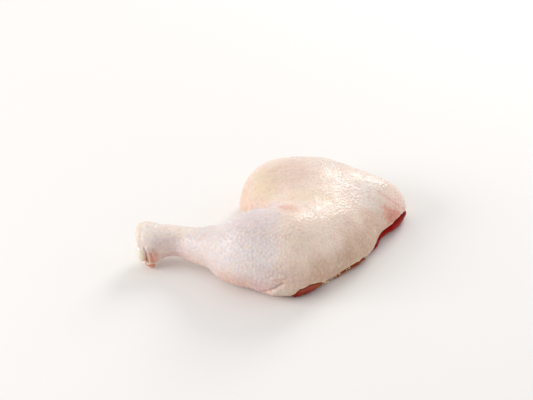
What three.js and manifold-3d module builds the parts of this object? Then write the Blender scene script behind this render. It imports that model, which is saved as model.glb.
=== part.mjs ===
// Raw chicken leg quarter: drumstick and thigh in one piece, lying skin side up on its cut side.
// Millimetres, +Z up, standing on z = 0, and at the end centred on X and Y. The drumstick points to
// -X and lies towards -Y, the thigh fills the +X side. Three solids: the skin with its fat layer, a
// sleeve round the drumstick and a cover over the thigh; the meat that runs through under it and
// shows along the cut; and the white joint end.
// Bodies are distance fields, summed from named masses, turned into closed meshes on a cubic lattice.

import * as THREE from "three";
import * as BufferGeometryUtils from "three/addons/utils/BufferGeometryUtils.js";
import Module from "manifold-3d";

const wasm = await Module();
wasm.setup();

const v3 = (x, y, z) => new THREE.Vector3(x, y, z);
const radians = THREE.MathUtils.degToRad;

// ---------------------------------------------------------------- driving dimensions
const SKIN_THICKNESS = 2.2; // skin with its fat layer
const GAP = 0.35; // clearance between touching solids
const FLOOR_ROUNDING = 9; // how softly the skin rounds into the surface it lies on

// Lattice cells of the skin's outside, its inside, the cut meat and the joint end.
const OUTER_CELL = 4.6;
const INNER_CELL = 6.4;
const CUT_CELL = 4.2;
const KNOB_CELL = 2.1;

// Drumstick: round stations along its axis, centre and radius, from the joint end to the knee.
const DRUMSTICK = [
  { at: v3(-88, -29, 15.5), radius: 11.5 },
  { at: v3(-78, -26.4, 15.8), radius: 11.8 },
  { at: v3(-66, -26.2, 15.2), radius: 10.7 },
  { at: v3(-51, -32.5, 15.2), radius: 13.6 },
  { at: v3(-35, -38.5, 17.8), radius: 17.8 },
  { at: v3(-24, -44.4, 18.7), radius: 23.5 },
  { at: v3(-13, -44.8, 21), radius: 28 },
  { at: v3(3, -43.3, 20), radius: 30.2 },
];
const SPINE_STEPS = 36;

// The two knuckles of the joint end, one high at the back and one low in front, and its blunt end.
const KNUCKLES = [
  { at: v3(-91, -25.3, 20.8), radius: 9.6 },
  { at: v3(-89, -34, 9), radius: 8.8 },
];
const KNUCKLE_BLEND = 5;
const END_FACE = { at: v3(-97.4, -29, 15), normal: v3(-1, -0.12, -0.1).normalize() };
const END_ROUNDING = 2.5;

// Thigh: flattened masses, each with its centre, half sizes and turn about +Z in degrees.
const THIGH = [
  { at: v3(25.5, 18, 9), half: v3(45.5, 52.5, 34.5), turn: -15 }, // crown
  { at: v3(2, 31.5, 9), half: v3(26.5, 29, 28), turn: 0 }, // lobe behind the knee
  { at: v3(67, 21, 7), half: v3(37, 24, 28), turn: -18 }, // towards the hip
  { at: v3(36, -20, 6), half: v3(40, 38, 30), turn: 20 }, // lower edge
  { at: v3(6, -49, 8), half: v3(26, 25.5, 26), turn: 0 }, // knee
];
const THIGH_BLEND = 16;

// Drumstick and thigh meet in a crease that fades out from left to right over the knee. Under the
// skin it is sharper, which keeps the skin's thickness there.
const CREASE = { from: -22, to: 14, sharp: 6, sharpInside: 1, soft: 26 };

// The butcher's cuts: walls through a point of the cut edge, facing an angle about +Z, that curve
// inwards above it.
const CUTS = [
  { at: v3(83.2, -3, 4), facing: -31 }, // from the hip's tip to the corner
  { at: v3(47.5, -47, 4), facing: -59 }, // from the corner to the knee
  { at: v3(10, -72, 4), facing: -78 }, // beside the knee
];
const CUT_WALL_RADIUS = 42;
const CUT_ROUNDING = 12;

// Edge of the skin on the underside, clockwise from above: x, y, and how high the edge lies. It runs
// outside the flesh where the skin stops short of the surface below and shows the meat.
const SKIN_EDGE = [
  v3(95, 24, 8), // the hip's tip
  v3(101, 8, 12), // the meat shows wide from the hip's tip to the corner
  v3(85, -14, 11),
  v3(64, -23, 5), // the corner, which touches down
  v3(63, -38, 6), // a narrow strip of meat
  v3(50, -50, 5),
  v3(36, -52, 4), // fat closes down to the surface
  v3(29, -68, 9),
  v3(24, -76, 13), // the meat shows widest beside the knee
  v3(6, -67, 4),
  v3(2, -48, 4),
  v3(-4, -18, 4),
  v3(-6, 18, 4), // under the lobe behind the knee
  v3(20, 42, 4),
  v3(60, 34, 4),
];
const EDGE_STEPS = 78;
const EDGE_DEPTH = 4; // how far the opening reaches below z = 0
const MEAT_BULGE = 0.5; // the cut meat swells a little past the skin's line
const MEAT_FLOOR_ROUNDING = 5;
const MEAT_TOP = 14; // the cut meat runs up into the core to here
const MEAT_TOP_ROUNDING = 1;

// Seams between the muscles of the thigh: tapered grooves in the cut meat's underside.
const SEAMS = [
  { from: v3(92, -2, 0), to: v3(24, 26, 0) },
  { from: v3(66, -38, 0), to: v3(10, 2, 0) },
  { from: v3(32, -66, 0), to: v3(6, -26, 0) },
];
const SEAM_RADIUS = 3;
const SEAM_SIDES = 8;

// Joint end: the hole in the skin, the white knob in it and the folds of tissue beside the knob.
const HOLE = { at: v3(-96, -37, 9), half: v3(6.8, 8, 9.5), turn: 0 };
const KNOB = [
  { at: v3(-93, -33.5, 12), half: v3(4.6, 5.5, 8.5), turn: 0 },
  { at: v3(-91, -30, 9), half: v3(4, 5, 6), turn: 0 },
];
const KNOB_BLEND = 3;
const TISSUE = [
  { at: v3(-89, -38, 6), radius: 3 },
  { at: v3(-86.5, -37.8, 3.2), radius: 2.6 },
];

// ---------------------------------------------------------------- distance fields
const smoothMin = (a, b, k) => {
  const h = Math.max(k - Math.abs(a - b), 0) / k;
  return Math.min(a, b) - (h * h * k) / 4;
};
const smoothMax = (a, b, k) => -smoothMin(-a, -b, k);

// Tapered rod with round ends, from one round station to the next.
function taperedRod(p, a, b) {
  const axis = b.at.clone().sub(a.at);
  const along = p.clone().sub(a.at).dot(axis) / axis.lengthSq();
  const t = Math.min(Math.max(along, 0), 1);
  const onAxis = a.at.clone().addScaledVector(axis, t);
  return p.distanceTo(onAxis) - (a.radius + (b.radius - a.radius) * t);
}

function ellipsoid(p, { at, half, turn }) {
  const q = p.clone().sub(at).applyAxisAngle(v3(0, 0, 1), -radians(turn));
  const k0 = q.clone().divide(half).length();
  const k1 = q.clone().divide(half).divide(half).length();
  return k1 === 0 ? -Math.min(half.x, half.y, half.z) : (k0 * (k0 - 1)) / k1;
}

// The drumstick's axis and radius run as smooth curves through its stations.
const axisCurve = new THREE.CatmullRomCurve3(DRUMSTICK.map(({ at }) => at));
const radiusCurve = new THREE.CatmullRomCurve3(DRUMSTICK.map(({ radius }, i) => v3(i, radius, 0)));
const spine = axisCurve.getPoints(SPINE_STEPS).map((at, i) => {
  return { at, radius: radiusCurve.getPoint(i / SPINE_STEPS).y };
});

function drumstick(p) {
  let shank = Infinity;
  for (let i = 0; i < SPINE_STEPS; i++) shank = Math.min(shank, taperedRod(p, spine[i], spine[i + 1]));
  const withKnuckles = smoothMin(shank, taperedRod(p, ...KNUCKLES), KNUCKLE_BLEND);
  return smoothMax(withKnuckles, p.clone().sub(END_FACE.at).dot(END_FACE.normal), END_ROUNDING);
}

function thigh(p) {
  const masses = THIGH.map((mass) => ellipsoid(p, mass)).reduce((a, b) => smoothMin(a, b, THIGH_BLEND));
  const cuts = CUTS.map(({ at, facing }) => {
    const [x, y, z] = p.clone().sub(at).toArray();
    return x * Math.cos(radians(facing)) + y * Math.sin(radians(facing)) + z ** 2 / (2 * CUT_WALL_RADIUS);
  });
  return cuts.reduce((a, b) => smoothMax(a, b, CUT_ROUNDING), masses);
}

function flesh(p, sharp = CREASE.sharp) {
  const fade = THREE.MathUtils.smoothstep(p.x, CREASE.from, CREASE.to);
  return smoothMin(drumstick(p), thigh(p), sharp + (CREASE.soft - sharp) * fade);
}

const leg = (p) => smoothMax(flesh(p), -p.z, FLOOR_ROUNDING);
const legInside = (p) => smoothMax(flesh(p, CREASE.sharpInside), -p.z, FLOOR_ROUNDING);

// ---------------------------------------------------------------- the skin's edge
const edge = new THREE.CatmullRomCurve3(SKIN_EDGE, true, "centripetal").getPoints(EDGE_STEPS).slice(0, -1);

// Prism below the edge line and inside it, held back from the skin by an inset.
function openingSolid(inset) {
  const points = edge.map((p, i) => {
    const along = edge[(i + 1) % edge.length].clone().sub(edge.at(i - 1));
    const inwards = v3(along.y, -along.x, 0).normalize();
    return p.clone().addScaledVector(inwards, inset).setZ(p.z - 2 * inset);
  });
  const outline = new THREE.Shape(edge.map((p) => new THREE.Vector2(p.x, p.y)));
  const geometry = new THREE.ExtrudeGeometry(outline, { depth: 1, bevelEnabled: false, curveSegments: 1 });
  const position = geometry.attributes.position;
  for (let i = 0; i < position.count; i++) {
    const on = edge.findIndex((q) => Math.hypot(q.x - position.getX(i), q.y - position.getY(i)) < 1e-3);
    const { x, y, z } = points[on];
    position.setXYZ(i, x, y, position.getZ(i) > 0.5 ? z : -EDGE_DEPTH);
  }
  return solidOf(merged(geometry));
}

// ---------------------------------------------------------------- lattice to mesh
const SLOPE_STEP = 0.05; // for slopes, by central differences
const LEAST_SLOPE = 0.5; // where the field is flatter, steps are as long as at this slope
const SETTLE_STEPS = 3;
const MARGIN_CELLS = 2; // of empty lattice round a body's box

function slope(field, p) {
  const along = (axis) => {
    const d = v3(0, 0, 0).setComponent(axis, SLOPE_STEP);
    return (field(p.clone().add(d)) - field(p.clone().sub(d))) / (2 * SLOPE_STEP);
  };
  return v3(along(0), along(1), along(2));
}

// Moves p along the field's slope to where the field is zero, at most a cell's width.
function settle(field, p, reach) {
  for (let i = 0; i < SETTLE_STEPS; i++) {
    const g = slope(field, p);
    p.add(g.multiplyScalar(-field(p) / Math.max(g.lengthSq(), LEAST_SLOPE ** 2)).clampLength(0, reach));
  }
}

// Surface nets: one vertex in each cell that the surface crosses, one quad round each crossed edge,
// evened out and settled back onto the surface.
function netOf(field, box, cell, evenings = 6) {
  const start = box.min.clone().subScalar(MARGIN_CELLS * cell);
  const cells = box.getSize(v3(0, 0, 0)).divideScalar(cell).ceil().addScalar(2 * MARGIN_CELLS);
  const count = cells.addScalar(1).toArray();
  const index = (i, j, k) => (k * count[1] + j) * count[0] + i;
  const values = new Float64Array(count[0] * count[1] * count[2]);
  const eachPoint = (margin, visit) => {
    for (let k = margin; k < count[2] - margin; k++)
      for (let j = margin; j < count[1] - margin; j++)
        for (let i = margin; i < count[0] - margin; i++) visit([i, j, k]);
  };
  eachPoint(0, (at) => {
    values[index(...at)] = field(v3(...at).multiplyScalar(cell).add(start));
  });

  const vertices = [];
  const vertexOf = new Map();
  const vertexIn = (at) => {
    const key = index(...at);
    if (!vertexOf.has(key)) {
      vertexOf.set(key, vertices.length);
      vertices.push(v3(...at).addScalar(0.5).multiplyScalar(cell).add(start));
    }
    return vertexOf.get(key);
  };
  const quads = [];
  eachPoint(1, (at) => {
    const here = values[index(...at)] < 0;
    for (let axis = 0; axis < 3; axis++) {
      const end = [...at];
      end[axis] += 1;
      if (values[index(...end)] < 0 === here) continue;
      const [u, v] = [(axis + 1) % 3, (axis + 2) % 3];
      const quad = [[1, 1], [0, 1], [0, 0], [1, 0]].map(([du, dv]) => {
        const corner = [...at];
        corner[u] -= du;
        corner[v] -= dv;
        return vertexIn(corner);
      });
      quads.push(here ? quad : quad.reverse());
    }
  });

  const neighbours = vertices.map(() => new Set());
  for (const quad of quads)
    quad.forEach((a, i) => {
      const b = quad[(i + 1) % 4];
      neighbours[a].add(b);
      neighbours[b].add(a);
    });
  vertices.forEach((p) => settle(field, p, cell / 2));
  for (let step = 0; step < evenings; step++) {
    const means = neighbours.map((set) => {
      const mean = v3(0, 0, 0);
      set.forEach((j) => mean.add(vertices[j]));
      return mean.divideScalar(set.size);
    });
    vertices.forEach((p, i) => {
      p.lerp(means[i], 0.5);
      settle(field, p, cell / 2);
    });
  }
  const triangles = quads.flatMap(([a, b, c, d]) => {
    const p = [a, b, c, d].map((i) => vertices[i]);
    return p[0].distanceTo(p[2]) <= p[1].distanceTo(p[3]) ? [a, b, c, a, c, d] : [a, b, d, b, c, d];
  });
  return { vertices, triangles };
}

// The same net with each vertex moved inwards, along the field's slope.
function sunk(net, field, depth) {
  const vertices = net.vertices.map((p) => p.clone().addScaledVector(slope(field, p).normalize(), -depth));
  return { vertices, triangles: net.triangles };
}

function merged(geometry) {
  geometry.deleteAttribute("normal");
  geometry.deleteAttribute("uv");
  const { attributes, index } = BufferGeometryUtils.mergeVertices(geometry);
  const vertices = [];
  for (let i = 0; i < attributes.position.count; i++) {
    vertices.push(new THREE.Vector3().fromBufferAttribute(attributes.position, i));
  }
  return { vertices, triangles: [...index.array] };
}

function solidOf({ vertices, triangles }) {
  const vertProperties = new Float32Array(vertices.flatMap((p) => p.toArray()));
  return new wasm.Manifold(new wasm.Mesh({ numProp: 3, vertProperties, triVerts: new Uint32Array(triangles) }));
}

function meshOf(name, solid, material) {
  const { vertProperties, triVerts } = solid.getMesh();
  const geometry = new THREE.BufferGeometry();
  geometry.setAttribute("position", new THREE.BufferAttribute(new Float32Array(vertProperties), 3));
  geometry.setIndex(new THREE.BufferAttribute(new Uint32Array(triVerts), 1));
  geometry.computeVertexNormals();
  const mesh = new THREE.Mesh(geometry, new THREE.MeshStandardMaterial(material));
  mesh.name = name;
  return mesh;
}

// ---------------------------------------------------------------- the solids
const LEG_BOX = new THREE.Box3(v3(-104, -82, -2), v3(104, 66, 54));
const END_BOX = new THREE.Box3(v3(-104, -48, -4), v3(-76, -18, 26));

const hole = (p) => ellipsoid(p, HOLE);
const knobMasses = (p) => KNOB.map((mass) => ellipsoid(p, mass)).reduce((a, b) => smoothMin(a, b, KNOB_BLEND));
const seat = (p) => smoothMin(leg(p) + SKIN_THICKNESS + GAP, hole(p) + GAP, KNOB_BLEND);
const knob = (p) => smoothMax(knobMasses(p), seat(p), KNOB_BLEND);

function lobeSolid({ at, radius }, extra) {
  const geometry = new THREE.IcosahedronGeometry(radius + extra, 2);
  geometry.translate(...at.toArray());
  return solidOf(merged(geometry));
}

function seamSolid({ from, to }) {
  const along = to.clone().sub(from);
  const geometry = new THREE.ConeGeometry(SEAM_RADIUS, along.length(), SEAM_SIDES);
  geometry.applyQuaternion(new THREE.Quaternion().setFromUnitVectors(v3(0, 1, 0), along.clone().normalize()));
  geometry.translate(...from.clone().addScaledVector(along, 0.5).toArray());
  return solidOf(merged(geometry));
}

function cutMeat(p) {
  const swollen = smoothMax(flesh(p) - MEAT_BULGE, -p.z, MEAT_FLOOR_ROUNDING);
  return smoothMax(swollen, p.z - MEAT_TOP, MEAT_TOP_ROUNDING);
}

const largest = (solid) => solid.decompose().sort((a, b) => b.volume() - a.volume())[0];
const without = (solid, tools) => tools.reduce((left, tool) => left.subtract(tool), solid);

const knobNet = netOf(knob, END_BOX, KNOB_CELL);
const knobSeat = solidOf(sunk(knobNet, knob, -GAP));
const insideNet = netOf(legInside, LEG_BOX, INNER_CELL);

const outside = solidOf(netOf(leg, LEG_BOX, OUTER_CELL));
const inside = solidOf(sunk(insideNet, legInside, SKIN_THICKNESS));
const holeSolid = solidOf(netOf(hole, END_BOX, KNOB_CELL));
const tissueSeats = TISSUE.map((lobe) => lobeSolid(lobe, GAP));
const skin = largest(without(outside, [inside, openingSolid(0), holeSolid, knobSeat, ...tissueSeats]));

const core = solidOf(sunk(insideNet, legInside, SKIN_THICKNESS + GAP));
const slab = solidOf(netOf(cutMeat, LEG_BOX, CUT_CELL, 4)).intersect(openingSolid(GAP));
const bare = without(core.add(slab), SEAMS.map(seamSolid));
const withTissue = TISSUE.reduce((solid, lobe) => solid.add(lobeSolid(lobe, 0)), bare);
const meat = largest(withTissue.subtract(knobSeat));

const group = new THREE.Group();
group.add(meshOf("skin", skin, { color: 0xead7cb, roughness: 0.4, metalness: 0 }));
group.add(meshOf("meat", meat, { color: 0x9c2a26, roughness: 0.35, metalness: 0 }));
group.add(meshOf("hock_cartilage", solidOf(knobNet), { color: 0xdfd8c6, roughness: 0.25, metalness: 0 }));

const centre = new THREE.Box3().setFromObject(group, true).getCenter(v3(0, 0, 0));
for (const { geometry } of group.children) geometry.translate(-centre.x, -centre.y, 0);
export default group;
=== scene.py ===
"""Dresses a raw chicken leg quarter: pimpled skin, cut meat, the joint's cartilage and a plain stage.

The tables and patterns are in millimetres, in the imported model's frame: the drumstick points to -X,
+Z is up, and 0 is the surface that the leg lies on."""

import math

import bpy
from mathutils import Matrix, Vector


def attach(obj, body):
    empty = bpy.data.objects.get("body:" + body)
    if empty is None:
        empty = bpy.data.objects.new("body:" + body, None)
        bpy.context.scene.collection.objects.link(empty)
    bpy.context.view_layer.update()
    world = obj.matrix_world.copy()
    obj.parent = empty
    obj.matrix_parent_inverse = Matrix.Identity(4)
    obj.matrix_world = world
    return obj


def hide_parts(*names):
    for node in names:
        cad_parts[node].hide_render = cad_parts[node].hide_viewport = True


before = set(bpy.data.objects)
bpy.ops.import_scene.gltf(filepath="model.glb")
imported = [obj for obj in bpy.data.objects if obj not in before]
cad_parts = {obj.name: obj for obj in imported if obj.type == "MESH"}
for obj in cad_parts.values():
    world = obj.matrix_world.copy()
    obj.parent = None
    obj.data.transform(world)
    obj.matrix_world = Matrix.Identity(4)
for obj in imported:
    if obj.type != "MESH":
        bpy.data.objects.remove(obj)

bl_info = {
    "name": "Raw chicken leg quarter",
    "version": (1, 0, 0),
    "blender": (4, 5, 0),
    "location": "View3D > Sidebar > Chicken leg",
    "description": "Dresses a raw chicken leg quarter and sets up a plain studio round it",
    "category": "Object",
}

MM = 0.001


def paint(code):
    """A colour's linear red, green and blue, from its six-digit screen code."""
    parts = [int(code[i : i + 2], 16) / 255 for i in (0, 2, 4)]
    return tuple(c / 12.92 if c <= 0.04045 else ((c + 0.055) / 1.055) ** 2.4 for c in parts)


# ---------------------------------------------------------------- places on the leg, in millimetres

# The crease between drumstick and thigh, from above: a point on it, and the direction across it.
CREASE_POINT = (-21, 14)
CREASE_NORMAL = (0.68, 0.73)
# The thigh's lobe behind the knee, where the skin is smooth.
LOBE = (-8, 26, 34)
# The hip's tip, where the skin is thin and pink: its centre and half sizes.
HIP_TIP = (87, 8, 18)
HIP_TIP_HALF = (15, 12, 12)

# Folds and creases of the skin: where each starts, bends and ends, its half width, how deep it sinks
# (a negative depth is a raised ridge), and how much pink shows in it.
SKIN_FOLDS = {
    "crease behind the knee": ((-21, 12, 16), (-9, 0, 30), (2, -20, 42), 2.0, 0.8, 0.3),
    "dimple where leg and thigh meet": ((6, -29, 48.5), (9, -32, 50), (13, -33, 50), 2.6, 0.6, 0.35),
    "fold under the knee": ((-8, -69.8, 6.4), (-1, -72.1, 11.2), (5.2, -73, 16.6), 1.0, 1.9, 0.15),
    "flap beside the knee": ((-1, -71.5, 7.5), (6, -73, 11.5), (14, -72, 12.5), 3.2, -1.4, 0.0),
    "pinch over the knee": ((-1, -72, 20.3), (2.5, -72.5, 21.4), (6.5, -72, 21.8), 1.0, -1.1, 0.0),
    "crease under the pinch": ((1, -72.2, 18.6), (4, -72.8, 19.2), (8, -72.6, 20), 0.8, 0.5, 0.3),
    "dent above the cut": ((47, -35, 30), (50, -38, 20), (51, -40, 9), 4.5, 0.9, 0.1),
    "second dent above the cut": ((55, -27, 31), (59, -30, 20), (60, -31, 9), 4.0, 0.7, 0.1),
    "vein at the hip": ((74, 15, 31), (83, 14, 24), (94, 20, 12), 0.8, 0.5, 1.0),
    "lower vein at the hip": ((76, 5, 26), (84, 8, 19), (92, 15, 11), 0.7, 0.4, 0.9),
    "tendon of the shank": ((-80, -36, 13), (-72, -33, 12), (-58, -41, 12), 1.6, 0.5, 0.2),
    "crease beside the joint": ((-90.2, -36.9, 19), (-88.9, -38.7, 14.4), (-87.4, -39.7, 9), 0.7, 1.4, 0.0),
    "lip of the crease": ((-88.3, -37, 19.4), (-86.9, -38.9, 14.6), (-85.6, -39.4, 8), 0.9, -0.9, 0.0),
    "fold beside the joint": ((-85.8, -38.4, 15.6), (-84.5, -39, 11.5), (-83.8, -38.4, 6), 0.7, 1.0, 0.9),
    "lip of the fold": ((-84, -38, 15), (-82.8, -38.4, 11), (-82.2, -37.6, 6), 0.8, -0.6, 0.3),
    "outer fold beside the joint": ((-81.5, -36.8, 15), (-80.8, -37, 11), (-80.2, -36, 6), 0.8, 0.5, 0.5),
    "rim round the joint's end": ((-94, -20, 29), (-95, -28.5, 26), (-94.2, -34.5, 18.5), 1.4, -0.6, 0.0),
}

# Tints of the skin where fat, muscle or blood shows through, and patches of painted shade and painted
# highlight: centre, half sizes, colour and strength.
SKIN_TINTS = {
    "peach rim behind the knee": ((-21, 22, 16), (12, 26, 20), "e4bda6", 0.6),
    "cream fat behind the knee": ((-8, 18, 36), (16, 26, 14), "e2caa8", 0.7),
    "lilac muscle on the crown": ((13, 24, 42), (23, 23, 14), "cfb0a8", 0.55),
    "lilac muscle behind": ((38, 40, 38), (26, 18, 14), "dccac6", 0.5),
    "cream stripe on the crown": ((22, -6, 42), (28, 11, 10), "ead0b2", 0.55),
    # Painted highlight: a cool pale patch on the thigh's top right.
    "cool painted highlight": ((66, 13, 34), (26, 20, 16), "fbeeea", 0.75),
    "warm dimple": ((10, -30, 49), (9, 8, 7), "dfa08a", 0.55),
    # Painted shade: tan on the lower right of the thigh, above the cut.
    "painted shade above the cut": ((56, -34, 12), (28, 22, 19), "c09c82", 0.65),
    "pale flap at the knee": ((6, -72.5, 10), (11, 4, 6), "c2bcb0", 0.75),
    # Painted shade: tan along the lower edge of the front.
    "painted shade by the lower edge": ((30, -60, 14), (26, 20, 18), "ac7a60", 0.7),
    # Painted shade: brown just above the meat strip.
    "brown painted shade above the strip": ((49, -43, 13), (16, 12, 10), "9c7660", 0.4),
    # Painted shade: tan on the right side by the hip's cut.
    "painted shade by the hip's cut": ((70, -11, 21), (15, 13, 15), "bd8c74", 0.6),
    "pink by the hip's cut": ((86, 6, 16), (8, 8, 7), "c8645a", 0.65),
    "grey knee": ((6, -70, 20), (18, 14, 14), "c4a8a0", 0.6),
    "lilac on the drumstick": ((-12, -46, 47), (20, 20, 12), "d6c4cc", 0.6),
    "pink edge under the drumstick": ((-32, -66, 8), (34, 12, 12), "d29890", 0.6),
    "grey shank": ((-76, -34, 19), (9, 6, 7), "cdb9b8", 0.6),
    "warm top of the shank": ((-74, -24, 27), (22, 9, 6), "fff0e4", 0.6),
    "white skin over the joint": ((-90, -28, 29), (9, 10, 7), "fdf3ec", 0.6),
    "cream end of the joint": ((-97, -29, 21), (4.5, 12, 13), "e4d8c6", 0.9),
    "tan folds beside the joint": ((-85.5, -40, 11), (6, 6, 9), "c9937a", 0.8),
    # Painted shade: brown in the crease beside the joint.
    "painted shade in the crease beside the joint": ((-88.8, -39, 14), (1.6, 3, 6.5), "8a5238", 0.85),
    "olive spots beside the joint": ((-84, -38, 17.5), (2.6, 3, 3), "a8886c", 0.6),
    "pink fold beside the joint": ((-84.6, -40, 8), (2.2, 3, 6), "c0705e", 0.8),
    # Painted highlight: pale pink on the hip's tip.
    "pale pink painted highlight at the hip's tip": ((90, 18, 22), (15, 14, 14), "ffe0d8", 0.8),
    "red edge at the hip": ((88, 8, 14), (13, 7, 6), "b84c40", 0.7),
}

# Ragged stretches of fat along the skin's rim: start, end and half width.
FAT_STRETCHES = [
    ((31.1, -60.3, 8.4), (33.1, -58.3, 7.0), 0.6),
    ((34.0, -57.2, 5.4), (36.8, -54.0, 3.4), 0.75),
    ((38.7, -50.3, 3.2), (45.1, -45.6, 4.2), 0.65),
    ((50.1, -41.6, 4.6), (53.1, -39.0, 4.8), 0.6),
    ((58.7, -33.6, 5.0), (60.1, -32.1, 5.2), 0.45),
]

# Seams between the muscles on the underside, as in SKIN_FOLDS, and how far the pale films in them wander.
MEAT_FOLDS = {
    "seam to the hip": ((93, 2, 3), (59, 16, 0), (24, 30, 0), 0.9, 0.8, 0.0),
    "seam in the middle": ((67, -34, 3), (40, -13, 0), (10, 6, 0), 0.9, 0.8, 0.0),
    "seam to the knee": ((33, -62, 3), (20, -42, 0), (7, -22, 0), 0.9, 0.8, 0.0),
}
SEAM_WANDER = 4.0


# ---------------------------------------------------------------- node trees written as expressions
class Value:
    """A socket of a node tree. Arithmetic on it adds Math nodes."""

    def __init__(self, nodes, socket):
        self.nodes = nodes
        self.socket = socket

    def join(self, operation, first, second):
        """The Math node that joins two sockets or numbers."""
        return self.nodes.add("ShaderNodeMath", {"operation": operation}, {0: first, 1: second})

    def __add__(self, other):
        return self.join("ADD", self, other)

    def __radd__(self, other):
        return self.join("ADD", other, self)

    def __sub__(self, other):
        return self.join("SUBTRACT", self, other)

    def __rsub__(self, other):
        return self.join("SUBTRACT", other, self)

    def __mul__(self, other):
        return self.join("MULTIPLY", self, other)

    def __rmul__(self, other):
        return self.join("MULTIPLY", other, self)

    def __neg__(self):
        return self.join("MULTIPLY", self, -1.0)

    def least(self, other):
        return self.join("MINIMUM", self, other)


class Nodes:
    """Adds nodes to one tree."""

    def __init__(self, tree):
        self.tree = tree
        self.shape = None  # the mesh that a relief starts from

    def add(self, kind, settings=None, sockets=None, output=0):
        """One node: its type, its settings, then the values or links of its sockets."""
        node = self.tree.nodes.new(kind)
        for name, value in (settings or {}).items():
            setattr(node, name, value)
        for key, value in (sockets or {}).items():
            if isinstance(value, Value):
                self.tree.links.new(value.socket, node.inputs[key])
            else:
                node.inputs[key].default_value = value
        return Value(self, node.outputs[output])

    def end(self, kind, value):
        """The tree's last node, which takes the value."""
        self.tree.links.new(value.socket, self.tree.nodes.new(kind).inputs[0])

    def vector(self, operation, first, second=None, output=0):
        """A Vector Math node, whose factor has a socket of its own."""
        key = 3 if operation == "SCALE" else 1
        sockets = {0: first} if second is None else {0: first, key: second}
        return self.add("ShaderNodeVectorMath", {"operation": operation}, sockets, output)

    def axes(self, vector):
        """The vector's x, y and z."""
        parts = self.add("ShaderNodeSeparateXYZ", sockets={0: vector})
        return [Value(self, socket) for socket in parts.socket.node.outputs]

    def step(self, low, high, value):
        """0 below low, 1 above high, and smooth between."""
        sockets = {"Value": value, "From Min": low, "From Max": high}
        return self.add("ShaderNodeMapRange", {"interpolation_type": "SMOOTHSTEP"}, sockets)

    def noise(self, place, size, detail=2.0, roughness=0.5):
        """Soft noise from about -1 to 1, its features about size millimetres wide."""
        sockets = {"Vector": place, "Scale": 1 / size, "Detail": detail, "Roughness": roughness}
        return 2 * self.add("ShaderNodeTexNoise", sockets=sockets) - 1

    def drift(self, place, scale):
        """A vector of soft noise, each part from 0 to 1, with so many features per unit."""
        sockets = {"Vector": place, "Scale": scale, "Detail": 3.0}
        return self.add("ShaderNodeTexNoise", sockets=sockets, output=1)

    def cells(self, place, scale, feature):
        """Distances in a pattern of cells, so many of them per unit."""
        return self.add("ShaderNodeTexVoronoi", {"feature": feature}, {"Vector": place, "Scale": scale})

    def mix(self, first, second, factor):
        """The first colour turning into the second."""
        first, second = [c if isinstance(c, Value) else (*c, 1.0) for c in (first, second)]
        return self.add("ShaderNodeMix", {"data_type": "RGBA"}, {0: factor, 6: first, 7: second}, 2)


# ---------------------------------------------------------------- patterns shared by meshes and materials

# Where a pimple's flat top ends and where its slope ends, as shares of the pimples' distance.
DOME_TOP = 0.08
DOME_FOOT = 0.54
# The direction of the meat's fibres from above, and how their pattern is stretched along it.
FIBRE_TURN = math.radians(-50)
FIBRE_STRETCH = (0.16, 1, 1)


def pimple_domes(nodes):
    """1 on top of each pimple where a feather grew, and 0 between: points scattered at even distances."""
    spacing = bpy.context.scene.chicken_leg.pimple_spacing
    sockets = {"Mesh": nodes.shape, "Distance Min": spacing, "Density Max": 2.5 / spacing**2, "Seed": 7}
    points = nodes.add("GeometryNodeDistributePointsOnFaces", {"distribute_method": "POISSON"}, sockets)
    away = nodes.add("GeometryNodeProximity", {"target_element": "POINTS"}, {0: points}, output=1)
    return 1 - nodes.step(DOME_TOP, DOME_FOOT, away * (1 / spacing))


def zone(nodes, place, centre, half, ragged):
    """1 in the middle of a rounded region, fading to 0 beyond its half sizes."""
    offset = nodes.vector("DIVIDE", nodes.vector("SUBTRACT", place, centre), half)
    return 1 - nodes.step(0.3, 1.2, nodes.vector("LENGTH", offset, output=1) + ragged)


def drumstick_share(nodes, place):
    """1 on the drumstick and 0 on the thigh, turning over along the crease and across the knee."""
    x, y, _ = nodes.axes(place)
    wander = 3 * nodes.noise(place, 14)
    beyond = CREASE_NORMAL[0] * (x - CREASE_POINT[0]) + CREASE_NORMAL[1] * (y - CREASE_POINT[1])
    behind_crease = nodes.step(-3, 4, beyond + wander)
    past_knee = nodes.step(-12, 14, x + 2 * wander)
    return (1 - behind_crease) * (1 - past_knee)


def pimpled_share(nodes, place):
    """How strongly the skin is pimpled: full on the muscles, little on the lobe and at the joint."""
    x, _, z = nodes.axes(place)
    off_lobe = nodes.step(16, 40, nodes.vector("DISTANCE", place, LOBE, output=1))
    off_joint = 0.3 + 0.7 * nodes.step(-88, -60, x)
    patches = nodes.step(-0.6, 0.4, nodes.noise(place, 28, 2))
    return (0.25 + 0.75 * off_lobe) * off_joint * (0.5 + 0.5 * patches) * nodes.step(2, 9, z)


def meat_fibres(nodes, place, size):
    """Long thin noise along the muscles, which run across the leg."""
    sockets = {"Vector": place, "Angle": FIBRE_TURN}
    along = nodes.add("ShaderNodeVectorRotate", {"rotation_type": "Z_AXIS"}, sockets)
    return nodes.noise(nodes.vector("MULTIPLY", along, FIBRE_STRETCH), size, 3, 0.6)


# ---------------------------------------------------------------- mesh steps

# No piece reaches beyond this least x, y and z: x and y are free, and z stays above the floor.
LEAST_PLACE = (-1000, -1000, 0.03)
# How near to its neighbour a surface is hidden, and how far from it the surface shows, in millimetres.
HIDDEN_NEAR = 1.0
HIDDEN_AWAY = 1.2


def only(piece):
    """Selects the piece alone."""
    bpy.ops.object.select_all(action="DESELECT")
    piece.select_set(True)
    bpy.context.view_layer.objects.active = piece


def finish_modifier(piece, kind, **settings):
    """Adds a modifier to the piece and applies it."""
    only(piece)
    modifier = piece.modifiers.new(kind.title(), kind)
    for name, value in settings.items():
        setattr(modifier, name, value)
    bpy.ops.object.modifier_apply(modifier=modifier.name)


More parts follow.
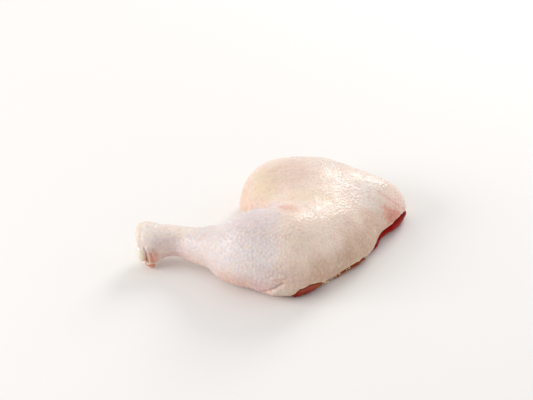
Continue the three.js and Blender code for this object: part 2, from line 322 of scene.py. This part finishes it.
def copy_of_node(node, name):
    """A piece that starts as the node's mesh, its loose triangles joined into one surface."""
    piece = bpy.data.objects.new(name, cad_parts[node].data.copy())
    piece.data.name = name
    piece.data.materials.clear()
    bpy.context.scene.collection.objects.link(piece)
    only(piece)
    bpy.ops.object.mode_set(mode="EDIT")
    bpy.ops.mesh.select_all(action="SELECT")
    bpy.ops.mesh.remove_doubles(threshold=0.01 * MM)
    bpy.ops.mesh.tris_convert_to_quads(face_threshold=math.radians(60), shape_threshold=math.radians(60))
    bpy.ops.object.mode_set(mode="OBJECT")
    return piece


def evenly_meshed(piece, levels, step, evenings):
    """Rounds the piece's facets off and covers it with small even faces."""
    finish_modifier(piece, "SUBSURF", levels=levels, render_levels=levels)
    finish_modifier(piece, "REMESH", mode="VOXEL", voxel_size=step, adaptivity=0)
    finish_modifier(piece, "SMOOTH", factor=0.5, iterations=evenings)


def relief(piece, name, height, **marks):
    """Moves the piece's surface along its normals by height, and stores each mark on it.

    Height and marks are functions of a node tree and a place, in millimetres."""
    tree = bpy.data.node_groups.new(name, "GeometryNodeTree")
    tree.interface.new_socket("Geometry", in_out="INPUT", socket_type="NodeSocketGeometry")
    tree.interface.new_socket("Geometry", in_out="OUTPUT", socket_type="NodeSocketGeometry")
    nodes = Nodes(tree)
    place = nodes.vector("SCALE", nodes.add("GeometryNodeInputPosition"), 1 / MM)
    shape = nodes.shape = nodes.add("NodeGroupInput")
    for title, field in marks.items():
        sockets = {"Geometry": shape, "Name": title, "Value": field(nodes, place)}
        shape = nodes.add("GeometryNodeStoreNamedAttribute", {"data_type": "FLOAT"}, sockets)
    rise = nodes.vector("SCALE", nodes.add("GeometryNodeInputNormal"), height(nodes, place))
    moved = nodes.vector("MAXIMUM", nodes.vector("ADD", place, rise), LEAST_PLACE)
    above_floor = nodes.vector("SCALE", moved, MM)
    shape = nodes.add("GeometryNodeSetPosition", sockets={"Geometry": shape, "Position": above_floor})
    nodes.end("NodeGroupOutput", shape)
    finish_modifier(piece, "NODES", node_group=tree)
    bpy.data.node_groups.remove(tree)


def thin_hidden_side(piece, neighbour):
    """Leaves few faces on the side that lies against the neighbour, where nobody sees it."""
    group = piece.vertex_groups.new(name="hidden")
    group.add(range(len(piece.data.vertices)), 1.0, "REPLACE")
    finish_modifier(
        piece,
        "VERTEX_WEIGHT_PROXIMITY",
        vertex_group="hidden",
        target=neighbour,
        proximity_mode="GEOMETRY",
        proximity_geometry={"FACE"},
        min_dist=HIDDEN_AWAY * MM,
        max_dist=HIDDEN_NEAR * MM,
    )
    finish_modifier(piece, "DECIMATE", ratio=0.56, vertex_group="hidden", vertex_group_factor=10)


def finish_piece(piece, node, material):
    """Gives the piece its material, smooth shading and the root as its parent; it hides the CAD node it
    stands for, if one is named.
    """
    piece.data.materials.append(material)
    only(piece)
    bpy.ops.object.shade_smooth()
    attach(piece, "root")
    if node:
        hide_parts(node)


# ---------------------------------------------------------------- relief and marks
def clear_of(nodes, node, low, high):
    """0 where the surface lies within low millimetres of a CAD node, and 1 beyond high."""
    target = nodes.add("GeometryNodeObjectInfo", sockets={"Object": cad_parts[node]}, output=4)
    away = nodes.add("GeometryNodeProximity", {"target_element": "FACES"}, {0: target}, output=1)
    return nodes.step(low, high, away * (1 / MM))


def fold_profile(nodes, start, middle, end, half_width, wander=0.0):
    """1 along a curved line, which may wander by some millimetres, fading to 0 beyond its half width."""
    start, middle, end = [Vector(point) * MM for point in (start, middle, end)]
    handle = 2 * middle - (start + end) / 2
    sockets = {"Resolution": 12, "Start": start, "Middle": handle, "End": end}
    curve = nodes.add("GeometryNodeCurveQuadraticBezier", sockets=sockets)
    sockets = {0: nodes.add("GeometryNodeCurveToMesh", sockets={"Curve": curve})}
    if wander:
        place = nodes.add("GeometryNodeInputPosition")
        drift = nodes.vector("SUBTRACT", nodes.drift(place, 0.09 / MM), (0.5, 0.5, 0.5))
        drift = nodes.vector("SCALE", drift, 2 * wander * MM)
        sockets["Source Position"] = nodes.vector("ADD", place, drift)
    away = nodes.add("GeometryNodeProximity", {"target_element": "EDGES"}, sockets, output=1)
    return 1 - nodes.step(0, 2 * half_width, away * (1 / MM))


def folds_height(nodes, folds):
    """How far the folds sink and their lips stand out, all together."""
    total = 0.0
    for start, middle, end, half_width, depth, _ in folds.values():
        total = total - depth * fold_profile(nodes, start, middle, end, half_width)
    return total


def folds_pink(nodes, folds):
    """How pink the folds are, a little wider than they are deep."""
    total = 0.0
    for start, middle, end, half_width, _, pink in folds.values():
        if pink:
            total = total + pink * fold_profile(nodes, start, middle, end, 1.6 * half_width)
    return total


def seam_films(nodes):
    """1 on the pale films in the seams between the muscles."""
    total = 0.0
    for start, middle, end, half_width, _, _ in MEAT_FOLDS.values():
        total = total + fold_profile(nodes, start, middle, end, half_width, SEAM_WANDER)
    return total


def skin_height(nodes, place):
    """Pimples, grain, soft swellings, rings round the shank, the frayed rim and the folds."""
    pimple = bpy.context.scene.chicken_leg.pimple_height / MM
    x, y, z = nodes.axes(place)
    domes = pimple_domes(nodes) * pimpled_share(nodes, place)
    grain = nodes.noise(place, 1.6, 1)
    swell = 0.6 * nodes.noise(place, 30, 1) + 0.3 * nodes.noise(place, 11, 1)
    around = nodes.vector("MULTIPLY", place, (1, 0.25, 0.25))
    rings = nodes.noise(around, 2.6, 2) * (1 - nodes.step(-84, -55, x))
    along_cut = nodes.step(0, 1, z) * (1 - nodes.step(7, 13, z)) * nodes.step(2, 12, x + 0.2 * y)
    frayed = along_cut * nodes.noise(place, 4.5, 2)
    height = pimple * domes + 0.05 * grain + swell + 0.25 * rings + 0.4 * frayed
    height = height + folds_height(nodes, SKIN_FOLDS)
    return height * clear_of(nodes, "meat", 1.0, 2.0)


def rim_share(nodes, place):
    """1 on the skin's cut rim, close to the meat, fading to 0 further up the skin."""
    return 1 - clear_of(nodes, "meat", 1.2, 3.2)


def meat_height(nodes, place):
    """Fibres, lumps and seams, which fade out where skin or cartilage is near."""
    fibres = meat_fibres(nodes, place, 2.2)
    lumps = nodes.noise(place, 8, 2)
    height = 0.45 * fibres + 0.6 * lumps + folds_height(nodes, MEAT_FOLDS)
    return height * clear_of(nodes, "skin", 0.5, 1.6) * clear_of(nodes, "hock_cartilage", 0.5, 1.2)


def cartilage_height(nodes, place):
    """Shallow lumps."""
    return 0.2 * nodes.noise(place, 4, 1)


def fat_height(nodes, place):
    """Crumbly lumps."""
    return 0.5 * nodes.noise(place, 1.6, 3)


# ---------------------------------------------------------------- materials

# What is the same all over each surface. The skin's coat varies, so its weight isn't here.
SKIN_FINISH = {
    "Subsurface Weight": 0.35,
    "Subsurface Radius": (1.0, 0.6, 0.45),
    "Subsurface Scale": 2.2 * MM,
    "Specular IOR Level": 0.35,
    "Coat Roughness": 0.18,
    "IOR": 1.4,
}
MEAT_FINISH = {
    "Subsurface Weight": 0.25,
    "Subsurface Radius": (1.0, 0.25, 0.15),
    "Subsurface Scale": 2 * MM,
    "Specular IOR Level": 0.04,
    "Coat Weight": 0.03,
    "Coat Roughness": 0.1,
    "IOR": 1.4,
}
CARTILAGE_FINISH = {
    "Subsurface Weight": 0.4,
    "Subsurface Radius": (1.0, 0.8, 0.6),
    "Subsurface Scale": 1.5 * MM,
    "Coat Weight": 0.8,
    "Coat Roughness": 0.08,
    "IOR": 1.45,
}
FAT_FINISH = {
    "Subsurface Weight": 0.5,
    "Subsurface Radius": (1.0, 0.7, 0.45),
    "Subsurface Scale": 2 * MM,
    "Coat Weight": 0.4,
    "Coat Roughness": 0.12,
    "IOR": 1.45,
}


def new_material(name):
    """A new material, its nodes and the place on the piece in millimetres."""
    material = bpy.data.materials.new(name)
    material.use_nodes = True
    material.node_tree.nodes.clear()
    nodes = Nodes(material.node_tree)
    place = nodes.vector("SCALE", nodes.add("ShaderNodeTexCoord", output=3), 1 / MM)
    return material, nodes, place


def mark(nodes, name):
    """A mark that relief stored on the surface."""
    return nodes.add("ShaderNodeAttribute", {"attribute_name": name}, output=2)


def surface(nodes, colour, roughness, height, depth, finish):
    """Ends the material. A height of 1 stands out by the depth, in metres."""
    normal = nodes.add("ShaderNodeBump", sockets={"Strength": 1.0, "Distance": depth, "Height": height})
    sockets = {"Base Color": colour, "Roughness": roughness, "Normal": normal, **finish}
    nodes.end("ShaderNodeOutputMaterial", nodes.add("ShaderNodeBsdfPrincipled", sockets=sockets))


def tinted_skin(nodes, place, ragged):
    """Cool drumstick and warm thigh with painted shade low down, tinted by fat, muscle and blood, and
    patched with painted shade and painted highlights.
    """
    settings = bpy.context.scene.chicken_leg
    _, y, z = nodes.axes(place)
    # Painted shade: the skin turns darker low down, less so towards the back.
    low = (1 - nodes.step(0, 33, z + 5 * nodes.noise(place, 18))) * (1 - 0.65 * nodes.step(0, 50, y))
    leg = nodes.mix(settings.drumstick_colour, settings.drumstick_low_pink_and_shade_colour, low)
    thigh = nodes.mix(settings.thigh_colour, settings.thigh_low_shade_colour, low)
    colour = nodes.mix(thigh, leg, drumstick_share(nodes, place))
    for centre, half, code, strength in SKIN_TINTS.values():
        colour = nodes.mix(colour, paint(code), strength * zone(nodes, place, centre, half, ragged))
    return colour


def mottled_skin(nodes, place, colour):
    """The colour with dull patches, blotches of muscle and fat, small flecks and pink folds."""
    settings = bpy.context.scene.chicken_leg
    aside = nodes.vector("ADD", place, (31, 17, 5))
    bruises = nodes.step(0.0, 0.6, nodes.noise(aside, 10, 3, 0.6))
    colour = nodes.mix(colour, settings.bruise_colour, 0.3 * bruises)
    mottle = nodes.noise(place, 5, 2, 0.6)
    colour = nodes.mix(colour, settings.muscle_colour, 0.5 * nodes.step(0.0, 0.5, mottle))
    colour = nodes.mix(colour, settings.fat_colour, 0.45 * nodes.step(0.0, 0.5, -mottle))
    flecks = nodes.noise(place, 2.4, 1)
    colour = nodes.mix(colour, settings.fleck_colour, 0.16 * nodes.step(0.0, 0.5, flecks))
    colour = nodes.mix(colour, settings.pimple_colour, 0.3 * nodes.step(0.0, 0.5, -flecks))
    return nodes.mix(colour, settings.pink_colour, 0.6 * mark(nodes, "pink").least(1.0))


def blushed_skin(nodes, place, colour, ragged):
    """The colour with crooked, broken veins and a blush at the hip's tip."""
    settings = bpy.context.scene.chicken_leg
    tip = zone(nodes, place, HIP_TIP, HIP_TIP_HALF, ragged)
    crooked = nodes.vector("ADD", place, nodes.vector("SCALE", nodes.drift(place, 0.14), 14.0))
    branches = 1 - nodes.step(0.01, 0.1, nodes.cells(crooked, 0.1, "DISTANCE_TO_EDGE"))
    faded = nodes.step(-0.35, 0.35, nodes.noise(place, 7, 2))
    colour = nodes.mix(colour, settings.vein_colour, 0.8 * tip * faded * branches)
    blush = 0.25 + 0.75 * nodes.step(-0.2, 0.4, nodes.noise(place, 7, 3, 0.6))
    return nodes.mix(colour, settings.blush_colour, 0.6 * tip * blush)


def skin_material():
    """Moist raw skin: tinted, mottled and pimpled, wetter on the pimples and in patches."""
    settings = bpy.context.scene.chicken_leg
    material, nodes, place = new_material("raw_chicken_skin")
    domes = mark(nodes, "pimple")
    ragged = 0.3 * nodes.noise(place, 12, 3)
    colour = tinted_skin(nodes, place, ragged)
    colour = mottled_skin(nodes, place, colour)
    colour = blushed_skin(nodes, place, colour, ragged)
    colour = nodes.mix(colour, settings.pimple_colour, 0.2 * domes)
    colour = nodes.mix(colour, settings.fat_colour, 0.8 * mark(nodes, "rim"))

    roughness = 0.46 + 0.08 * nodes.noise(place, 5, 2) - 0.12 * domes
    beads = 1 - nodes.step(0.05, 0.6, nodes.cells(place, 0.6, "F1"))
    grain = 0.2 * nodes.noise(place, 1.2, 1) + 0.5 * beads
    height = grain * (0.4 + 0.6 * pimpled_share(nodes, place)) + 0.9 * domes
    wet_patches = nodes.step(-0.2, 0.4, nodes.noise(place, 6, 2, 0.6))
    wet = 0.1 + 0.28 * nodes.step(0.2, 0.9, domes) + 0.4 * wet_patches
    surface(nodes, colour, roughness, height, 0.12 * MM, {**SKIN_FINISH, "Coat Weight": wet})
    return material


def fleshy_meat(nodes, place, fibres, patches):
    """Streaked red meat with dark patches, pale films and marbling, paler towards the knee, with painted
    shade at the wedge's foot by the knee.
    """
    settings = bpy.context.scene.chicken_leg
    x, _, z = nodes.axes(place)
    towards_knee = 1 - nodes.step(15, 75, x)
    streaks = nodes.step(-0.4, 0.8, 0.8 * fibres + 0.6 * patches)
    pale = (0.25 * streaks + 0.45 * towards_knee).least(1.0)
    colour = nodes.mix(settings.meat_colour, settings.meat_pale_colour, pale)
    dark = nodes.step(0.05, 0.6, nodes.noise(place, 11, 2))
    colour = nodes.mix(colour, settings.meat_dark_and_shade_colour, 0.7 * dark)
    films = nodes.step(0.25, 0.6, nodes.noise(place, 9, 4, 0.65) + 0.35 * fibres)
    colour = nodes.mix(colour, settings.film_colour, (0.12 + 0.25 * towards_knee) * films)
    marbling = nodes.step(0.3, 0.6, fibres) * nodes.step(-0.1, 0.4, nodes.noise(place, 14, 2))
    colour = nodes.mix(colour, settings.film_colour, (0.15 + 0.2 * towards_knee) * marbling)
    wedge_top = nodes.step(4, 12, z + 1.5 * patches) * towards_knee
    colour = nodes.mix(colour, settings.film_colour, 0.45 * wedge_top)
    # Painted shade: darker meat at the foot of the wedge by the knee, under the skin's overhang.
    wedge_foot_shade = (1 - nodes.step(1, 6, z + 1.5 * patches)) * towards_knee
    return nodes.mix(colour, settings.meat_dark_and_shade_colour, 0.5 * wedge_foot_shade)


def meat_material():
    """Cut meat with brown painted shade along the lower edge, pinker underneath, with the tissue beside the
    joint.
    """
    settings = bpy.context.scene.chicken_leg
    material, nodes, place = new_material("raw_leg_meat")
    x, _, z = nodes.axes(place)
    fibres = meat_fibres(nodes, place, 1.7)
    patches = nodes.noise(place, 24, 2)
    colour = fleshy_meat(nodes, place, fibres, patches)
    # Painted shade: a ragged brown band along the lower edge.
    edge = nodes.step(24, 32, x) * (1 - nodes.step(60, 68, x))
    strip = edge * nodes.step(-0.5, 0.1, nodes.noise(place, 6, 2))
    colour = nodes.mix(colour, settings.strip_shade_colour, 0.75 * strip)
    underneath = 1 - nodes.step(0.3, 1.4, z)
    pinker = 0.35 + 0.4 * nodes.step(-0.3, 0.4, nodes.noise(place, 16, 3) + 0.3 * fibres)
    colour = nodes.mix(colour, settings.meat_under_colour, underneath * pinker)
    broken = 0.45 + 0.55 * nodes.step(-0.4, 0.3, nodes.noise(place, 5, 3))
    colour = nodes.mix(colour, settings.fat_colour, 0.6 * mark(nodes, "seam") * broken)
    tissue = 1 - nodes.step(-84, -78, x)
    colour = nodes.mix(colour, settings.tissue_colour, tissue)
    surface(nodes, colour, 0.34 + 0.06 * patches, fibres, 0.2 * MM, MEAT_FINISH)
    return material


def cartilage_material():
    """Wet white cartilage with faint cream clouds."""
    settings = bpy.context.scene.chicken_leg
    material, nodes, place = new_material("wet_cartilage")
    clouds = nodes.noise(place, 4, 2)
    colour = nodes.mix(settings.cartilage_colour, settings.fat_colour, nodes.step(0.0, 0.8, clouds))
    surface(nodes, colour, 0.2 + 0.06 * clouds, nodes.noise(place, 1.2, 2), 0.08 * MM, CARTILAGE_FINISH)
    return material


def fat_material():
    """Soft cream fat, yellower in places."""
    settings = bpy.context.scene.chicken_leg
    material, nodes, place = new_material("soft_fat")
    clouds = nodes.noise(place, 2.5, 3)
    colour = nodes.mix(settings.fat_colour, settings.fat_deep_colour, nodes.step(-0.6, 0.4, clouds))
    surface(nodes, colour, 0.34 + 0.08 * clouds, nodes.noise(place, 0.8, 2), 0.1 * MM, FAT_FINISH)
    return material


def floor_material():
    """A plain matt floor."""
    material, nodes, _ = new_material("pale_floor")
    sockets = {"Base Color": (*bpy.context.scene.chicken_leg.floor_colour, 1.0), "Roughness": 0.7}
    nodes.end("ShaderNodeOutputMaterial", nodes.add("ShaderNodeBsdfPrincipled", sockets=sockets))
    return material


# ---------------------------------------------------------------- settings
def colour_property(name, description, code):
    """A colour, given as its screen code."""
    return bpy.props.FloatVectorProperty(
        name=name, description=description, subtype="COLOR", size=3, min=0, max=1, default=paint(code)
    )


def measure_property(name, description, unit, default):
    """A number of metres, watts or the like."""
    return bpy.props.FloatProperty(name=name, description=description, unit=unit, min=0, default=default)


def length_property(name, description, default):
    """A length in metres."""
    return measure_property(name, description, "LENGTH", default)


def power_property(name, description, default):
    """A light's power in watts."""
    return measure_property(name, description, "POWER", default)


class ChickenLegSettings(bpy.types.PropertyGroup):
    """Sizes and colours of the leg's surfaces and the stage."""

    skin_step: length_property("Skin mesh step", "Size of the skin's small faces", 0.74 * MM)
    meat_step: length_property("Meat mesh step", "Size of the meat's small faces", 1.0 * MM)
    fat_step: length_property("Fat mesh step", "Size of the fat bits' small faces", 0.3 * MM)
    cartilage_step: length_property("Cartilage mesh step", "Size of the cartilage's faces", 0.4 * MM)
    pimple_spacing: length_property("Pimple spacing", "Least distance between feather pimples", 2.25 * MM)
    pimple_height: length_property("Pimple height", "How far a feather pimple stands out", 0.36 * MM)

    drumstick_colour: colour_property("Drumstick skin", "Cool skin on top of the drumstick", "ddd6de")
    # The lower skin colours are painted shade, partly the drumstick's own pink.
    drumstick_low_pink_and_shade_colour: colour_property("Pink and painted shade low on the drumstick", "Pinkish skin low down on it, with painted shade", "d2b6b4")
    thigh_colour: colour_property("Thigh skin", "Warm skin on top of the thigh", "f3dccf")
    thigh_low_shade_colour: colour_property("Painted shade low on the thigh", "Tan painted shade low on the thigh, mostly at the front", "d0a890")
    muscle_colour: colour_property("Muscle under skin", "Lilac grey where muscle shows through", "dcbcb6")
    bruise_colour: colour_property("Dull patches", "Dull lilac patches all over the skin", "c8aeb0")
    fleck_colour: colour_property("Flecks", "Dull flecks between the pimples", "a88a80")
    pimple_colour: colour_property("Pimples", "Pale tops of the feather pimples", "f3e6da")
    pink_colour: colour_property("Pink", "Pink of folds, dimples and large veins", "ea8c80")
    blush_colour: colour_property("Blush", "Pink of the thin skin at the hip's tip", "ff7468")
    vein_colour: colour_property("Veins", "Purple red of the fine veins at the hip's tip", "b0606c")

    fat_colour: colour_property("Fat", "Cream fat under the skin and along the cut", "efd9bd")
    fat_deep_colour: colour_property("Deep fat", "Yellower fat in thick lumps", "cf9c68")
    meat_colour: colour_property("Meat", "Red of the cut meat", "940805")
    meat_pale_colour: colour_property("Pale meat", "Lighter streaks in the meat", "94402a")
    meat_dark_and_shade_colour: colour_property("Dark meat and painted shade", "Darker patches in the meat, and painted shade at the wedge's foot", "620806")
    # Dark meat also serves as painted shade at the wedge's foot.
    meat_under_colour: colour_property("Meat underneath", "Pinker meat on the underside", "b8645c")
    film_colour: colour_property("Films", "Pale films between the muscles", "bf8470")
    # Painted shade along the lower edge.
    strip_shade_colour: colour_property("Painted shade along the edge", "Brown painted shade on the meat along the lower edge", "a35e30")
    tissue_colour: colour_property("Joint tissue", "Pink tissue beside the joint", "d89e88")
    cartilage_colour: colour_property("Cartilage", "White of the joint's cartilage", "e6dfcd")

    floor_colour: colour_property("Floor", "Plain pale floor", "f4f1ee")
    key_power: power_property("Key light", "Power of the large light behind", 10.5)
    fill_power: power_property("Fill light", "Power of the light on the left", 12.0)
    side_power: power_property("Side light", "Power of the light on the right", 2.0)
    sky_strength: bpy.props.FloatProperty(
        name="Sky", description="Strength of the even light from all round", min=0, default=0.64
    )
    camera_distance: length_property("Camera distance", "From the camera to what it looks at", 1.0)
    camera_elevation: bpy.props.FloatProperty(
        name="Camera elevation",
        description="How far the camera looks down",
        subtype="ANGLE",
        default=math.radians(34.8),
    )
    camera_lens: bpy.props.FloatProperty(
        name="Lens", description="Focal length on a 36 mm wide sensor", unit="CAMERA", default=89.63
    )
    camera_target: bpy.props.FloatVectorProperty(
        name="Camera target",
        description="What the camera looks at",
        subtype="TRANSLATION",
        unit="LENGTH",
        default=(-0.005467, 0.049471, 0.0),
    )


# ---------------------------------------------------------------- operators
def add_light(name, place, size, power):
    """A soft rectangular light that faces the leg. Its place and size are in metres."""
    bpy.ops.object.light_add(type="AREA", location=place)
    light = bpy.context.object
    light.name = name
    light.data.shape = "RECTANGLE"
    light.data.size, light.data.size_y = size
    light.data.energy = power
    light.rotation_euler = (-Vector(place)).to_track_quat("-Z", "Y").to_euler()


def uneven_fat():
    """The place and radius of each bit of fat: rows of uneven bits that overlap."""
    for start, end, half_width in FAT_STRETCHES:
        start, end = Vector(start), Vector(end)
        count = math.ceil(1.6 * (end - start).length / half_width) + 1
        for i in range(count):
            lift = Vector((0, 0, 0.3 * half_width * math.sin(5 * i + start.x)))
            radius = half_width * (0.75 + 0.4 * math.sin(7 * i + start.y))
            yield start.lerp(end, i / (count - 1)) + lift, radius


class CHICKENLEG_OT_skin(bpy.types.Operator):
    """Model the pimpled skin over the CAD skin"""

    bl_idname = "chickenleg.skin"
    bl_label = "Skin"

    def execute(self, context):
        settings = context.scene.chicken_leg
        skin = copy_of_node("skin", "leg_skin")
        evenly_meshed(skin, levels=2, step=settings.skin_step, evenings=6)
        relief(
            skin,
            "skin relief",
            skin_height,
            pink=lambda nodes, place: folds_pink(nodes, SKIN_FOLDS),
            pimple=lambda nodes, place: pimple_domes(nodes) * pimpled_share(nodes, place),
            rim=rim_share,
        )
        thin_hidden_side(skin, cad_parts["meat"])
        finish_piece(skin, "skin", skin_material())
        return {"FINISHED"}


class CHICKENLEG_OT_meat(bpy.types.Operator):
    """Model the cut meat over the CAD meat"""

    bl_idname = "chickenleg.meat"
    bl_label = "Meat"

    def execute(self, context):
        settings = context.scene.chicken_leg
        meat = copy_of_node("meat", "leg_meat")
        evenly_meshed(meat, levels=1, step=settings.meat_step, evenings=4)
        relief(meat, "meat relief", meat_height, seam=lambda nodes, place: seam_films(nodes))
        finish_piece(meat, "meat", meat_material())
        return {"FINISHED"}


class CHICKENLEG_OT_cartilage(bpy.types.Operator):
    """Model the joint's white cartilage over the CAD knob"""

    bl_idname = "chickenleg.cartilage"
    bl_label = "Cartilage"

    def execute(self, context):
        settings = context.scene.chicken_leg
        knob = copy_of_node("hock_cartilage", "joint_cartilage")
        evenly_meshed(knob, levels=2, step=settings.cartilage_step, evenings=4)
        relief(knob, "cartilage relief", cartilage_height)
        finish_piece(knob, "hock_cartilage", cartilage_material())
        return {"FINISHED"}


class CHICKENLEG_OT_fat(bpy.types.Operator):
    """Model the crumbs of fat along the skin's rim"""

    bl_idname = "chickenleg.fat"
    bl_label = "Fat bits"

    def execute(self, context):
        settings = context.scene.chicken_leg
        bpy.ops.object.select_all(action="DESELECT")
        bits = []
        for place, radius in uneven_fat():
            bpy.ops.mesh.primitive_ico_sphere_add(subdivisions=3, radius=radius * MM, location=place * MM)
            bpy.ops.object.transform_apply(location=True, rotation=True, scale=True)
            bits.append(context.object)
        for bit in bits:
            bit.select_set(True)
        bpy.ops.object.join()
        fat = context.object
        fat.name = fat.data.name = "fat_bits"
        evenly_meshed(fat, levels=1, step=settings.fat_step, evenings=2)
        relief(fat, "fat relief", fat_height)
        finish_piece(fat, None, fat_material())
        return {"FINISHED"}


class CHICKENLEG_OT_stage(bpy.types.Operator):
    """Set up the floor, the soft lights and the camera"""

    bl_idname = "chickenleg.stage"
    bl_label = "Stage"

    def execute(self, context):
        settings = context.scene.chicken_leg
        scene = context.scene
        bpy.ops.object.select_all(action="DESELECT")
        bpy.ops.mesh.primitive_plane_add(size=6)
        floor = context.object
        floor.name = "floor"
        floor.data.materials.append(floor_material())

        add_light("key_light", place=(0.62, 1.27, 0.8), size=(0.6, 0.8), power=settings.key_power)
        add_light("fill_light", place=(-1.35, -0.35, 0.68), size=(1.1, 0.6), power=settings.fill_power)
        add_light("side_light", place=(1.6, 0.3, 0.8), size=(0.9, 0.9), power=settings.side_power)
        world = bpy.data.worlds.new("studio")
        world.use_nodes = True
        background = world.node_tree.nodes["Background"]
        background.inputs["Color"].default_value = (1.0, 1.0, 1.0, 1.0)
        background.inputs["Strength"].default_value = settings.sky_strength
        scene.world = world
        scene.view_settings.view_transform = "Standard"

        target = Vector(settings.camera_target)
        elevation = settings.camera_elevation
        back = Vector((0, -math.cos(elevation), math.sin(elevation)))
        bpy.ops.object.camera_add(location=target + back * settings.camera_distance)
        camera = context.object
        camera.name = "camera"
        camera.rotation_euler = (math.pi / 2 - elevation, 0, 0)
        camera.data.sensor_width = 36
        camera.data.lens = settings.camera_lens
        camera.data.clip_start = 0.01
        scene.camera = camera
        return {"FINISHED"}


class CHICKENLEG_PT_panel(bpy.types.Panel):
    """Lists the leg's pieces and its settings"""

    bl_idname = "CHICKENLEG_PT_panel"
    bl_label = "Chicken leg"
    bl_space_type = "VIEW_3D"
    bl_region_type = "UI"
    bl_category = "Chicken leg"

    def draw(self, context):
        for operator in OPERATORS:
            self.layout.operator(operator.bl_idname)
        for name in ChickenLegSettings.__annotations__:
            self.layout.prop(context.scene.chicken_leg, name)


OPERATORS = (
    CHICKENLEG_OT_stage,
    CHICKENLEG_OT_skin,
    CHICKENLEG_OT_meat,
    CHICKENLEG_OT_cartilage,
    CHICKENLEG_OT_fat,
)
CLASSES = (ChickenLegSettings, *OPERATORS, CHICKENLEG_PT_panel)


def register():
    for cls in CLASSES:
        bpy.utils.register_class(cls)
    bpy.types.Scene.chicken_leg = bpy.props.PointerProperty(type=ChickenLegSettings)


def unregister():
    del bpy.types.Scene.chicken_leg
    for cls in reversed(CLASSES):
        bpy.utils.unregister_class(cls)


def main():
    """Builds the stage and every piece."""
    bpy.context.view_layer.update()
    register()
    bpy.ops.chickenleg.stage()
    bpy.ops.chickenleg.skin()
    bpy.ops.chickenleg.meat()
    bpy.ops.chickenleg.cartilage()
    bpy.ops.chickenleg.fat()


if __name__ == "__main__":
    main()
